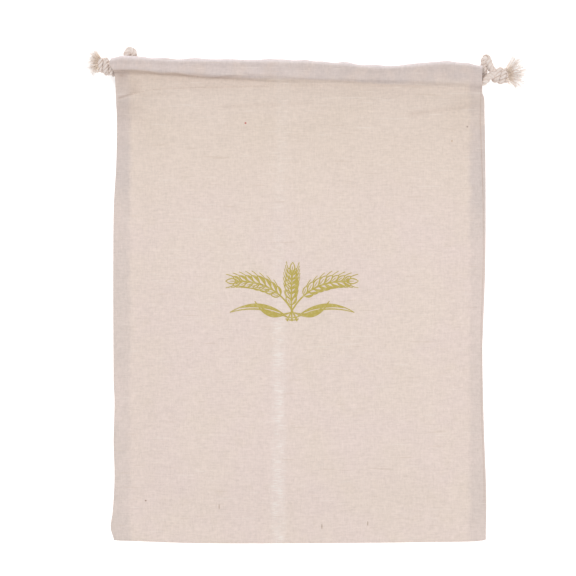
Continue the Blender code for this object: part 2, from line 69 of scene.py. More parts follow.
# Outline. Each row is (place along the edge, place of the edge).
LEFT_EDGE = (
    (-0.1936, -0.1500), (-0.1847, -0.1525), (-0.1727, -0.1509), (-0.1450, -0.1493),
    (-0.1150, -0.1501), (-0.0830, -0.1493), (-0.0640, -0.1501), (0.0688, -0.1501),
    (0.1170, -0.1477), (0.1710, -0.1477), (0.1830, -0.1490), (0.1870, -0.1510),
    (0.1905, -0.1525), (0.1960, -0.1512),
)
RIGHT_EDGE = (
    (-0.1912, 0.1505), (-0.1600, 0.1509), (-0.1150, 0.1493), (-0.0880, 0.1485),
    (-0.0398, 0.1477), (-0.0157, 0.1485), (0.0326, 0.1501), (0.1170, 0.1501),
    (0.1530, 0.1493), (0.1630, 0.1485), (0.1670, 0.1469), (0.1890, 0.1469),
)
FOOT_EDGE = (
    (-0.1509, -0.1928), (-0.1477, -0.1936), (-0.1284, -0.1944), (-0.0800, -0.1960),
    (0.0165, -0.1960), (0.0970, -0.1952), (0.1420, -0.1944), (0.1500, -0.1928),
)
MOUTH_EDGE = (
    (-0.1509, 0.1944), (-0.1420, 0.1960), (-0.1284, 0.1960), (-0.0962, 0.1944),
    (0.0004, 0.1932), (0.0326, 0.1912), (0.0648, 0.1888), (0.0970, 0.1904),
    (0.1130, 0.1920), (0.1370, 0.1912), (0.1475, 0.1890),
)
# Lines across the hem. Each row is (x, y).
HEM_STITCH = (
    (-0.1500, 0.1635), (-0.1330, 0.1660), (-0.1150, 0.1695), (-0.0480, 0.1715),
    (0.0100, 0.1728), (0.0700, 0.1722), (0.1000, 0.1712), (0.1250, 0.1700), (0.1500, 0.1680),
)
FRONT_LOWER_CORD = (
    (-0.1500, 0.1868), (-0.1200, 0.1860), (-0.0480, 0.1815), (0.0400, 0.1782),
    (0.1000, 0.1768), (0.1250, 0.1755), (0.1500, 0.1735),
)
BACK_LOWER_CORD = ((-0.1500, 0.1872), (-0.0480, 0.1832), (0.0400, 0.1803), (0.1500, 0.1785))
# The pressed crease down the front. Each row is (y, x).
CREASE = ((-0.1960, -0.0165), (0.0400, -0.0168), (0.1700, -0.0125))
# The slit beside the right seam, between the front's edge and the back's. Each row is (y, drift), how
# far it runs outside its place under the hem.
SLIT = ((-0.0200, 0.0026), (0.0400, 0.0024), (0.0800, 0.0018), (0.1200, 0.0008), (0.1600, 0.0000))

# Creases and soft folds of the laid cloth: (x0, y0, x1, y1, height, half width).
FOLDS = (
    (-0.1450, 0.1628, -0.1276, 0.1682, -0.0010, 0.0014),
    (-0.1460, 0.1585, -0.1240, 0.1660, 0.0006, 0.0030),
    (-0.1330, 0.1690, -0.1120, 0.1752, 0.0004, 0.0022),
    (-0.1280, 0.1650, -0.1000, 0.1662, -0.0004, 0.0022),
    (-0.1090, 0.1570, -0.0900, 0.1600, 0.0004, 0.0030),
    (-0.1480, -0.0610, -0.1010, -0.0600, 0.0005, 0.0022),
    (0.1050, -0.0600, 0.1450, -0.0615, 0.0005, 0.0022),
    (0.0900, 0.1500, 0.1350, 0.1560, -0.0004, 0.0030),
    (0.1050, 0.1430, 0.1420, 0.1510, 0.0005, 0.0040),
    (-0.0600, 0.1560, 0.0100, 0.1590, -0.0003, 0.0030),
    (-0.1180, -0.1480, -0.0700, -0.1520, 0.0003, 0.0060),
    (0.0300, -0.1600, 0.0900, -0.1560, 0.0003, 0.0060),
)

# Where the casing dips behind the cord and shade gathers. Each row is (x, y) and (x, strength).
SHADE_LINE = (
    (-0.1500, 0.1845), (-0.1350, 0.1845), (-0.1204, 0.1835), (-0.1123, 0.1819), (-0.1002, 0.1822),
    (-0.0881, 0.1803), (-0.0720, 0.1787), (-0.0624, 0.1795), (-0.0439, 0.1812), (-0.0180, 0.1803),
    (0.0040, 0.1778), (0.0300, 0.1762), (0.0700, 0.1732), (0.1000, 0.1728), (0.1200, 0.1738),
    (0.1480, 0.1748),
)
# Where the casing's greyer tone ends.
CASING_LINE = (
    (-0.1500, 0.1845), (-0.1350, 0.1845), (-0.1204, 0.1835), (-0.1123, 0.1819), (-0.1002, 0.1822),
    (-0.0881, 0.1803), (-0.0720, 0.1787), (-0.0530, 0.1781), (-0.0400, 0.1775), (0.0000, 0.1768),
    (0.0300, 0.1758), (0.0700, 0.1732), (0.1000, 0.1722), (0.1480, 0.1735),
)
SHADE_STRENGTH = (
    (-0.1500, 0.95), (-0.1340, 0.95), (-0.1240, 0.60), (-0.1080, 0.66), (-0.0880, 0.72), (-0.0640, 0.66),
    (-0.0440, 0.42), (-0.0200, 0.14), (0.0100, 0.10), (0.0400, 0.16), (0.0900, 0.34), (0.1200, 0.12),
    (0.1480, 0.04),
)

LEFT_CORD_START = (
    (-0.1478, 0.1910, 0.0106), (-0.1440, 0.1921, 0.0126), (-0.1390, 0.1926, 0.0144),
)
LEFT_CORD_TURN = (
    (0.1340, 0.1880, 0.0130), (0.1385, 0.1875, 0.0123), (0.1416, 0.1871, 0.0106),
    (0.1427, 0.1870, 0.0080), (0.1416, 0.1871, 0.0053), (0.1385, 0.1875, 0.0037),
)
LEFT_CORD_END = (
    (-0.1435, 0.1925, 0.0034), (-0.1462, 0.1919, 0.0035), (-0.1480, 0.1909, 0.0039),
)
RIGHT_CORD_START = (
    (0.1572, 0.1818, 0.0084), (0.1532, 0.1805, 0.0098), (0.1500, 0.1774, 0.0112),
    (0.1466, 0.1742, 0.0122),
)
RIGHT_CORD_TURN = (
    (-0.1260, 0.1863, 0.0152), (-0.1310, 0.1864, 0.0149), (-0.1355, 0.1871, 0.0130),
    (-0.1380, 0.1889, 0.0107), (-0.1388, 0.1914, 0.0092), (-0.1388, 0.1950, 0.0090),
    (-0.1386, 0.1988, 0.0090), (-0.1377, 0.2007, 0.0090), (-0.1361, 0.2014, 0.0090),
    (-0.1345, 0.2007, 0.0091), (-0.1336, 0.1988, 0.0092), (-0.1334, 0.1950, 0.0091),
    (-0.1331, 0.1921, 0.0086), (-0.1325, 0.1900, 0.0077), (-0.1312, 0.1884, 0.0063),
    (-0.1284, 0.1874, 0.0048), (-0.1240, 0.1869, 0.0037),
)
RIGHT_CORD_END = (
    (0.1440, 0.1787, 0.0034), (0.1466, 0.1792, 0.0036), (0.1484, 0.1812, 0.0046),
    (0.1486, 0.1850, 0.0060), (0.1485, 0.1900, 0.0078), (0.1488, 0.1934, 0.0090),
    (0.1496, 0.1952, 0.0094), (0.1507, 0.1953, 0.0094), (0.1517, 0.1938, 0.0092),
    (0.1527, 0.1906, 0.0086), (0.1542, 0.1870, 0.0078), (0.1566, 0.1840, 0.0070),
)
# Each wrap is (first, turns, reach, low, high, hand): where it starts round the knot, how far round it
# goes, how far out, from where to where along the knot, and which way. Reach is how far the fibres go
# on one side, ahead and on the other.
KNOTS = {
    "left": {
        "centre": (-0.1562, 0.1888, 0.0062), "axis": (-0.90, 0.44, 0.0), "tail": (-0.1622, 0.1920, 0.0088),
        "fan": (-0.98, 0.10, 0.0), "open": 1.05, "fibres": 260, "reach": (0.0088, 0.0100, 0.0088), "seed": 5,
        "wraps": (
            (0.00, 1.4, 0.0046, -0.0082, 0.0062, 1), (0.50, 1.4, 0.0046, -0.0082, 0.0062, 1),
            (0.30, 0.9, 0.0022, -0.0070, 0.0066, -1),
        ),
    },
    "right": {
        "centre": (0.1634, 0.1812, 0.0063), "axis": (1.0, 0.04, 0.0), "tail": (0.1686, 0.1816, 0.0088),
        "fan": (0.97, 0.16, 0.0), "open": 1.05, "fibres": 190, "reach": (0.0118, 0.0188, 0.0178), "seed": 8,
        "wraps": (
            (0.10, 1.3, 0.0045, -0.0070, 0.0048, -1), (0.60, 1.3, 0.0045, -0.0070, 0.0048, -1),
            (0.35, 0.9, 0.0022, -0.0066, 0.0060, 1),
        ),
    },
}


def ease(share):
    share = min(1.0, max(0.0, share))
    return share * share * (3.0 - 2.0 * share)


def mix(a, b, share):
    return a + (b - a) * share


def value_at(rows, place):
    """The smooth curve through a table of (place, value), read at one place."""
    if place <= rows[0][0]:
        return rows[0][1]
    if place >= rows[-1][0]:
        return rows[-1][1]
    i = max(k for k in range(len(rows) - 1) if rows[k][0] <= place)
    span = rows[i + 1][0] - rows[i][0]
    rise = rows[i + 1][1] - rows[i][1]

    def slope(k):
        before, after = rows[max(0, k - 1)], rows[min(len(rows) - 1, k + 1)]
        return (after[1] - before[1]) / (after[0] - before[0])

    s = (place - rows[i][0]) / span
    from_start = span * slope(i) * s * (1 - s) ** 2
    from_end = span * slope(i + 1) * s * s * (s - 1)
    return rows[i][1] + rise * s * s * (3 - 2 * s) + from_start + from_end


def upper_cord(x):
    return value_at(MOUTH_EDGE, x) - HEM_HALF


def front_lift(x):
    right = RIGHT_DROOP * ease((x - 0.100) / 0.047)
    left = LEFT_DROOP * ease((-0.134 - x) / 0.018)
    return LOFT - right - left


def hem_share(x, y):
    start = value_at(HEM_STITCH, x) - HEM_RISE
    return ease((y - start) / (HEM_RISE - 0.001))


def folds(x, y):
    """How far the creases and soft folds lift the front at a point."""
    total = 0.0
    for x0, y0, x1, y1, height, half in FOLDS:
        dx, dy = x1 - x0, y1 - y0
        along = ((x - x0) * dx + (y - y0) * dy) / (dx * dx + dy * dy)
        clamped = min(1.0, max(0.0, along))
        away = math.hypot(x - x0 - clamped * dx, y - y0 - clamped * dy)
        if away < 3 * half:
            total += height * math.exp(-((away / half) ** 2)) * ease(4 * min(along + 0.2, 1.2 - along))
    return total


def off_fold(x, y, fold):
    """How far a point lies from a fold, and how far along the fold it lies, 0 to 1."""
    x0, y0, x1, y1 = fold[:4]
    dx, dy = x1 - x0, y1 - y0
    along = min(1.0, max(0.0, ((x - x0) * dx + (y - y0) * dy) / (dx * dx + dy * dy)))
    return math.hypot(x - x0 - along * dx, y - y0 - along * dy), along


def shade(x, y):
    """How much shade gathers at a point of the front, beyond what the light gives."""
    line = value_at(SHADE_LINE, x)
    strength = value_at(SHADE_STRENGTH, x)
    total = 0.42 * strength * math.exp(-(((y - line) / 0.0009) ** 2))
    below = ease((line + 0.001 - y) / 0.001) * (1 - ease((line - y) / 0.019))
    total += 0.27 * mix(0.45, 1.0, strength) * below * (1 - 0.6 * ease((x - 0.06) / 0.06))
    stitch = (y - value_at(HEM_STITCH, x)) / 0.0007
    total += 0.13 * math.exp(-(stitch ** 2)) * (0.7 + 0.5 * math.sin(x / 0.004) * math.sin(x / 0.019))
    for fold in FOLDS:
        if fold[4] < 0:
            away, along = off_fold(x, y, fold)
            total += min(0.6, -600 * fold[4]) * math.exp(-((away / (0.55 * fold[5])) ** 2)) * (1 - 0.6 * along)
    total += 0.07 * casing_share(x, y) * ease(0.5 + 0.5 * pucker(x, y))
    dimple = math.hypot((x + 0.1429) / 0.0022, (y - 0.1807) / 0.0013)
    return min(1.0, total + 0.5 * math.exp(-(dimple ** 2)))


def casing_share(x, y):
    """1 on the casing round the cords, 0 on the panel below it, with a softer change to the right."""
    blur = mix(0.0022, 0.0095, ease((x - 0.06) / 0.06))
    return ease((y - value_at(CASING_LINE, x) + 0.2 * blur) / blur)


def ripple(x, y):
    """The pressed crease down the front, and the soft unevenness of the laid cloth."""
    from_crease = abs(x - value_at(CREASE, y)) / 0.0040
    crease = 0.0005 * max(0.0, 1.0 - from_crease)
    inside = ease((SEAM_LINE - abs(x)) / 0.03) * (1.0 - hem_share(x, y))
    wave = 0.0004 * math.sin(x / 0.021 + 1.3) * math.sin(y / 0.034 + 0.4)
    wave += 0.00014 * math.sin(x / 0.0083 + 2.1 * math.sin(y / 0.05)) * math.sin(y / 0.0117 + 1.7 * math.sin(x / 0.04))
    return (crease + wave) * inside * ease((y - FOOT) / 0.03) + folds(x, y)


def front_inner(x, y):
    slope = mix(SIDE_SLOPE, MOUTH_SLOPE, ease((y - 0.06) / 0.09))
    side = ease((SEAM_LINE - abs(x)) / slope)
    foot = ease((y - FOOT - 0.002) / FOOT_SLOPE)
    low = CLOTH + FOLD_GAP
    height = low + (LOFT - low) * side * foot + ripple(x, y)
    return mix(height, front_lift(x) + 0.5 * folds(x, y), hem_share(x, y))


def outline(x, y):
    left = (value_at(LEFT_EDGE, y) + HALF_WIDTH) * ease(-x / 0.125)
    right = (value_at(RIGHT_EDGE, y) - HALF_WIDTH) * ease(x / 0.125)
    foot = (value_at(FOOT_EDGE, x) - FOOT) * ease(-y / 0.16)
    return x + left + right, y + foot


# ---- Materials ----
class Nodes:
    """Short calls that add nodes to one material."""

    def __init__(self, name):
        self.made = bpy.data.materials.new(name)
        self.made.use_nodes = True
        self.tree = self.made.node_tree
        self.shader = self.tree.nodes["Principled BSDF"]

    def add(self, kind, inputs=(), **settings):
        node = self.tree.nodes.new(kind)
        for key, value in settings.items():
            setattr(node, key, value)
        for key, value in dict(inputs).items():
            self.put(node.inputs[key], value)
        return node

    def put(self, socket, value):
        if isinstance(value, bpy.types.NodeSocket):
            self.tree.links.new(value, socket)
        else:
            socket.default_value = value

    def math(self, operation, a, b=0.0, c=0.0, clamp=False):
        node = self.add("ShaderNodeMath", operation=operation, use_clamp=clamp)
        for socket, value in zip(node.inputs, (a, b, c)):
            self.put(socket, value)
        return node.outputs[0]

    def ramp(self, value, low, high, to_low=0.0, to_high=1.0):
        """A smooth step between two values."""
        node = self.add("ShaderNodeMapRange", interpolation_type="SMOOTHSTEP")
        for key, put in zip(("Value", "From Min", "From Max", "To Min", "To Max"), (value, low, high, to_low, to_high)):
            self.put(node.inputs[key], put)
        return node.outputs[0]

    def blend(self, share, a, b, how="MIX"):
        node = self.add("ShaderNodeMix", data_type="RGBA", blend_type=how)
        node.clamp_factor = True
        for socket, value in zip((node.inputs[0], node.inputs[6], node.inputs[7]), (share, a, b)):
            self.put(socket, value)
        return node.outputs[2]

    def noise(self, where, scale, detail=2.0, rough=0.5):
        node = self.add("ShaderNodeTexNoise", {"Scale": scale, "Detail": detail, "Roughness": rough, "Vector": where})
        return node.outputs["Fac"]

    def scaled(self, where, size, turn=(0.0, 0.0, 0.0)):
        node = self.add("ShaderNodeMapping", {"Vector": where, "Scale": size, "Rotation": turn})
        return node.outputs[0]

    def wave(self, where, scale, direction, distortion=0.0, detail_scale=1.0):
        node = self.add(
            "ShaderNodeTexWave",
            {"Scale": scale, "Distortion": distortion, "Detail Scale": detail_scale, "Vector": where},
            wave_type="BANDS", bands_direction=direction, wave_profile="SIN",
        )
        return node.outputs["Fac"]

    def bump(self, height, strength, distance, under=None):
        node = self.add("ShaderNodeBump", {"Height": height, "Strength": strength, "Distance": distance})
        if under is not None:
            self.put(node.inputs["Normal"], under)
        return node.outputs[0]


def rgb(red, green, blue):
    """A colour given as it shows on a screen, 0 to 255."""
    def linear(value):
        value /= 255
        return value / 12.92 if value <= 0.04045 else ((value + 0.055) / 1.055) ** 2.4
    return (linear(red), linear(green), linear(blue), 1.0)


LINEN = rgb(240, 223, 212)
LINEN_PINK = rgb(240, 222, 214)
LINEN_WARM = rgb(236, 219, 205)
LINEN_GREY = rgb(222, 208, 202)
CASING_GREY = rgb(217, 203, 198)
CASING_PALE = rgb(223, 209, 205)
SLUB = rgb(218, 198, 182)
# Flecks of coloured fibre in the weave: (x, y, half width, half length, colour).
FLECKS = (
    (-0.0434, 0.1426, 0.0008, 0.0008, rgb(196, 92, 84)),
    (0.1354, 0.1402, 0.0007, 0.0006, rgb(166, 144, 132)),
    (0.1228, 0.1284, 0.0005, 0.0008, rgb(204, 172, 140)),
    (-0.1240, -0.1614, 0.0007, 0.0006, rgb(150, 120, 98)),
    (0.0181, -0.1823, 0.0003, 0.0021, rgb(150, 124, 96)),
    (0.0551, -0.1799, 0.0003, 0.0019, rgb(158, 132, 102)),
    (-0.0648, -0.1662, 0.0003, 0.0020, rgb(158, 132, 102)),
)


def linen_material():
    n = Nodes("linen weave")
    place = n.add("ShaderNodeTexCoord").outputs["Object"]
    split = n.add("ShaderNodeSeparateXYZ", {0: place})
    x, y, z = split.outputs
    top = n.add("ShaderNodeAttribute", attribute_name="front").outputs["Fac"]

    # Tone: pink and pale in the middle, warmer under the hem, greyer over the seams and the casing.
    drift = n.noise(n.scaled(place, (1, 1, 0.2)), 16.0, 3.0, 0.6)
    cloud = n.noise(n.scaled(place, (1, 1, 0.2)), 70.0, 2.0, 0.6)
    wander = n.math("MULTIPLY", n.math("SUBTRACT", cloud, 0.5), 0.008)
    colour = n.blend(n.ramp(drift, 0.36, 0.64), LINEN_PINK, LINEN)
    warmth = n.math("MULTIPLY", n.ramp(y, 0.04, 0.150), n.ramp(drift, 0.70, 0.35, 0.45, 1.0))
    colour = n.blend(warmth, colour, LINEN_WARM)
    colour = n.blend(n.ramp(cloud, 0.55, 0.75, 0.0, 0.35), colour, LINEN_WARM)
    edge = n.math("ADD", n.math("ABSOLUTE", n.math("ADD", x, -0.0005)), wander)
    band = n.math("MULTIPLY", n.ramp(edge, 0.1345, 0.1400), n.ramp(drift, 0.35, 0.62, 0.45, 0.95))
    band = n.math("MULTIPLY", band, n.ramp(y, 0.0, 0.09, 0.68, 1.0))
    colour = n.blend(band, colour, LINEN_GREY)
    # Painted shade on the panel just under the hem, stronger over the seams.
    hem_painted_shade = n.math("MULTIPLY", n.math("ADD", n.math("MULTIPLY", band, 0.25), 0.12), n.ramp(y, 0.10, 0.165))
    colour = n.blend(hem_painted_shade, colour, rgb(206, 188, 182))
    casing = n.add("ShaderNodeAttribute", attribute_name="casing").outputs["Fac"]
    hem_colour = n.blend(n.ramp(x, -0.03, 0.05), CASING_PALE, CASING_GREY)
    hem_colour = n.blend(n.ramp(cloud, 0.50, 0.70, 0.0, 0.5), hem_colour, rgb(228, 210, 202))
    colour = n.blend(n.math("MULTIPLY", casing, n.ramp(cloud, 0.3, 0.7, 0.95, 0.75)), colour, hem_colour)
    # Painted highlight along the top rim of the casing.
    painted_rim_highlight = n.add("ShaderNodeAttribute", attribute_name="painted_rim_highlight").outputs["Fac"]
    colour = n.blend(n.math("MULTIPLY", painted_rim_highlight, 0.85), colour, rgb(246, 235, 236))
    # Painted shade: under the cord ridge, along the stitching, in the creases and the gathers.
    painted_shade = n.add("ShaderNodeAttribute", attribute_name="shade").outputs["Fac"]
    colour = n.blend(n.math("MULTIPLY", painted_shade, 0.70), colour, rgb(172, 144, 126))

    # Threads of uneven thickness, both ways.
    weft = n.noise(n.scaled(place, (150, 1050, 60)), 1.0, 2.0, 0.55)
    warp = n.noise(n.scaled(place, (1050, 150, 60)), 1.0, 2.0, 0.55)
    patch = n.noise(n.scaled(place, (1, 1, 0.3)), 430.0, 1.0, 0.5)
    long_weft = n.noise(n.scaled(place, (40, 680, 30)), 1.0, 1.0, 0.5)
    tone = n.math("ADD", n.math("MULTIPLY", n.math("SUBTRACT", weft, 0.5), 0.22), 1.0)
    tone = n.math("ADD", tone, n.math("MULTIPLY", n.math("SUBTRACT", warp, 0.5), 0.17))
    tone = n.math("ADD", tone, n.math("MULTIPLY", n.math("SUBTRACT", patch, 0.5), 0.19))
    grey = n.add("ShaderNodeCombineColor", {0: tone, 1: tone, 2: tone}).outputs[0]
    colour = n.blend(0.85, colour, grey, "MULTIPLY")
    colour = n.blend(n.ramp(long_weft, 0.68, 0.78, 0.0, 0.35), colour, SLUB)
    colour = n.blend(n.ramp(long_weft, 0.32, 0.24, 0.0, 0.30), colour, rgb(250, 239, 230))

    # The pressed crease shows as a paler line, a painted highlight on its ridge, with bright threads across it.
    line = n.ramp(y, 0.04, 0.17, -0.0168, -0.0125)
    offset = n.math("SUBTRACT", n.math("ADD", x, wander), line)
    from_line = n.math("ABSOLUTE", offset)
    fade = n.math("MULTIPLY", top, n.ramp(y, 0.06, -0.07, 0.25, 1.0))
    fade = n.math("MULTIPLY", fade, n.ramp(cloud, 0.30, 0.55, 0.40, 1.0))
    crease_highlight = n.math("MULTIPLY", n.ramp(from_line, 0.0085, 0.0010, 0.0, 0.27), fade)
    colour = n.blend(crease_highlight, colour, rgb(255, 244, 238))
    tick = n.noise(n.scaled(place, (170, 1250, 30)), 1.0, 0.0, 0.5)
    ticks = n.math("MULTIPLY", n.ramp(tick, 0.55, 0.68), n.ramp(from_line, 0.0075, 0.0015, 0.0, 0.55))
    colour = n.blend(n.math("MULTIPLY", ticks, fade), colour, rgb(255, 249, 242))

    # Painted shade in the slit beside the right seam; the painted shade under the hem's creases comes from the shade
    # attribute above.
    upper = n.ramp(y, 0.165, 0.06, 0.1457, 0.1484)
    lower = n.math("ADD", n.ramp(y, 0.045, -0.030, 0.0, -0.0018), n.ramp(y, -0.070, -0.160, 0.0, 0.0024))
    slit = n.math("ABSOLUTE", n.math("SUBTRACT", x, n.math("ADD", upper, lower)))
    slit = n.math("MULTIPLY", n.ramp(slit, 0.0008, 0.0001, 0.0, 0.23), n.ramp(y, -0.180, -0.150))
    slit = n.math("MULTIPLY", slit, n.ramp(y, 0.1735, 0.1725))
    colour = n.blend(slit, colour, rgb(188, 160, 142))

    for fx, fy, wide, long, fibre in FLECKS:
        dx = n.math("DIVIDE", n.math("SUBTRACT", x, fx), wide)
        dy = n.math("DIVIDE", n.math("SUBTRACT", y, fy), long)
        far = n.math("ADD", n.math("MULTIPLY", dx, dx), n.math("MULTIPLY", dy, dy))
        colour = n.blend(n.math("MULTIPLY", n.ramp(far, 1.6, 0.4, 0.0, 0.8), top), colour, fibre)

    # The weave itself: threads over and under each other, 16 to the centimetre.
    rows = n.wave(place, 500.0, "Y", 2.0, 3.0)
    columns = n.wave(place, 500.0, "X", 2.0, 3.0)
    weave = n.math("MULTIPLY", rows, columns)
    uneven = n.math("ADD", n.math("MULTIPLY", weft, 1.4), n.math("MULTIPLY", warp, 1.2))
    normal = n.bump(uneven, 0.40, 0.0006)
    normal = n.bump(weave, 0.30, 0.0002, normal)
    n.put(n.shader.inputs["Normal"], normal)
    n.put(n.shader.inputs["Base Color"], colour)
    n.put(n.shader.inputs["Roughness"], n.ramp(weft, 0.3, 0.7, 0.82, 0.95))
    n.shader.inputs["Specular IOR Level"].default_value = 0.25
    n.shader.inputs["Sheen Weight"].default_value = 0.12
    n.shader.inputs["Sheen Roughness"].default_value = 0.6
    return n.made


def cord_material(name, base, deep, neighbour_shade):
    """Twisted cotton: fibres run along each strand, and painted shade darkens the sides that face its neighbours."""
    n = Nodes(name)
    place = n.add("ShaderNodeTexCoord").outputs["Object"]
    fibre = n.add("ShaderNodeUVMap", {}, uv_map="fibre").outputs[0]
    parts = n.add("ShaderNodeSeparateXYZ", {0: fibre}).outputs
    fine = n.noise(n.scaled(fibre, (14, 2.5, 1)), 1.0, 3.0, 0.6)
    blotch = n.noise(place, 420.0, 2.0, 0.5)
    colour = n.blend(n.ramp(fine, 0.35, 0.65), base, deep)
    colour = n.blend(n.ramp(blotch, 0.52, 0.75, 0.0, 0.30), colour, rgb(214, 190, 168))
    inward = n.math("SUBTRACT", 1.0, n.math("ABSOLUTE", n.math("SUBTRACT", n.math("MULTIPLY", parts[0], 2.0), 1.0)))
    # Painted shade on the side of each strand that faces the other strands.
    colour = n.blend(n.ramp(inward, 0.30, 0.62, 0.0, 0.8), colour, neighbour_shade)
    n.put(n.shader.inputs["Base Color"], colour)
    n.put(n.shader.inputs["Normal"], n.bump(fine, 0.6, 0.0004))
    n.put(n.shader.inputs["Roughness"], n.ramp(blotch, 0.3, 0.7, 0.8, 0.95))
    n.shader.inputs["Specular IOR Level"].default_value = 0.25
    n.shader.inputs["Sheen Weight"].default_value = 0.2
    return n.made


def fray_material():
    """Loose cotton fibres: warmer and darker where they leave the knot, painted shade for the packed root, pale at
    their tips.
    """
    n = Nodes("frayed cotton")
    fibre = n.add("ShaderNodeUVMap", {}, uv_map="fibre").outputs[0]
    along = n.add("ShaderNodeSeparateXYZ", {0: fibre}).outputs[1]
    colour = n.blend(n.ramp(along, 0.02, 0.40), rgb(250, 231, 213), rgb(254, 244, 237))
    n.put(n.shader.inputs["Base Color"], colour)
    n.shader.inputs["Roughness"].default_value = 0.9
    n.shader.inputs["Specular IOR Level"].default_value = 0.25
    n.shader.inputs["Sheen Weight"].default_value = 0.2
    return n.made


def ink_material():
    """Screen-print ink that has sunk into the weave, thinner on the dips."""
    n = Nodes("olive ink")
    place = n.add("ShaderNodeTexCoord").outputs["Object"]
    weft = n.noise(n.scaled(place, (90, 900, 60)), 1.0, 2.0, 0.55)
    worn = n.noise(place, 500.0, 2.0, 0.6)
    colour = n.blend(n.ramp(worn, 0.45, 0.75, 0.0, 0.7), rgb(195, 177, 94), rgb(216, 202, 148))
    n.put(n.shader.inputs["Base Color"], colour)
    n.put(n.shader.inputs["Normal"], n.bump(weft, 0.4, 0.0005))
    n.put(n.shader.inputs["Roughness"], n.ramp(worn, 0.3, 0.7, 0.75, 0.9))
    n.shader.inputs["Specular IOR Level"].default_value = 0.2
    return n.made


def new_piece(name, mesh, made, smooth=True):
    data = bpy.data.meshes.new(name)
    mesh.to_mesh(data)
    mesh.free()
    if smooth:
        data.shade_smooth()
    for each in made if isinstance(made, tuple) else (made,):
        data.materials.append(each)
    obj = bpy.data.objects.new(name, data)
    bpy.context.scene.collection.objects.link(obj)
    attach(obj, "root")
    return obj


# ---- The cloth, as a lattice of cells: eight heights at each spot, seven layers between them ----
BACK_OUTER, BACK_CORE, BACK_INNER, POCKET, FRONT_INNER, FRONT_CORE, FRONT_OUTER = range(7)


def columns_of():
    middle = [-0.1440 + 0.2880 * k / 108 for k in range(109)]
    edge = (0.1446, 0.1452, 0.1458, 0.1464, 0.1470, 0.1475, 0.1480, 0.1483, 0.1485)
    marks = [-SEAM_LINE, SEAM_LINE, LEFT_FRONT_STOP, LEFT_BACK_STOP, RIGHT_STOP, LEFT_BACK_END]
    kept = [x for x in middle if min(abs(x - mark) for mark in marks) > 0.0010]
    return sorted([-x for x in edge] + kept + marks + list(edge))


LANE_SHARES = (0.0, 0.12, 0.24, 0.36, 0.44, 0.50, 0.55, 0.60, 0.64, 0.68, 0.73, 0.79, 0.86, 0.93, 1.0)


def rows_of(x):
    """(y, share, kind) up one column: share is how far round the fold at the mouth it is."""
    stitch = value_at(HEM_STITCH, x)
    start = stitch - HEM_RISE
    rows = [(FOOT + up, 0.0, "panel") for up in (0.0, 0.0003, 0.0008, 0.0016, 0.0028, 0.0045)]
    body = 92
    first = FOOT + 0.0045
    rows += [(mix(first, start, k / body), 0.0, "panel") for k in range(1, body + 1)]
    rows += [(mix(start, stitch - 0.0008, k / 26), 0.0, "panel") for k in range(1, 27)]
    lower, upper = value_at(FRONT_LOWER_CORD, x), upper_cord(x)
    rows += [(stitch + 0.0002, 0.0, "flat"), (stitch + 0.0008, 0.0, "flat")]
    lane = max(stitch + 0.0012, lower - 0.0076)
    rows += [(mix(lane, lower, share), 0.0, "tunnel") for share in LANE_SHARES]
    rows += [(mix(lower, upper, k / 6), 0.0, "tunnel") for k in range(1, 7)]
    rows += [(upper, share, "lip") for share in (0.25, 0.45, 0.62, 0.77, 0.89, 0.96, 1.0)]
    return rows


def tunnel_height(x, y, lower, upper, lane):
    """Room between the two walls of a hem at y: steep under the cord at the left, slack at the right."""
    if y < lower:
        slack = mix(TUNNEL + 0.0008, max(lower - lane, TUNNEL + 0.0008), ease((x + 0.055) / 0.09))
        share = min(1.0, (lower - y) / slack)
        round_side = math.sqrt(max(0.0, 1.0 - share ** 2))
        return 2 * TUNNEL * mix(round_side, ease(1.0 - share), ease((x + 0.055) / 0.09))
    across = (y - lower) / max(upper - lower, 0.001)
    apart = max(0.0, upper - lower - CORD)
    sag = min(0.0011, 0.0004 + 0.10 * apart) * math.sin(math.pi * min(1.0, across))
    return 2 * TUNNEL - sag * 1.6


def pucker(x, y):
    """Small gathers of the casing along the cords."""
    wave = math.sin(x / 0.0062 + 1.1 + 60 * (y - 0.18)) * math.sin(x / 0.017)
    wave += 0.8 * math.sin(x / 0.0031 + 2.2 * math.sin(x / 0.023)) * math.sin(x / 0.041 + 0.8)
    return wave


def hem_swell(x):
    """How far the cords below lift the front around its hem's stitching, towards the right."""
    return 0.0017 * ease((x + 0.04) / 0.09)


def slit_depth(nominal):
    """The back's edge shows beside the front's at the right, with a slit between them."""
    if nominal < 0.1442:
        return 0.0
    return 0.0005 if nominal < 0.1448 else 0.0002


def slit_drift(nominal, y):
    """Moves the columns beside the slit along with it."""
    if nominal < 0.1425:
        return 0.0
    rise = ease((nominal - 0.1425) / 0.0019)
    return value_at(SLIT, y) * rise * min(1.0, (HALF_WIDTH - nominal) / (HALF_WIDTH - 0.1446))


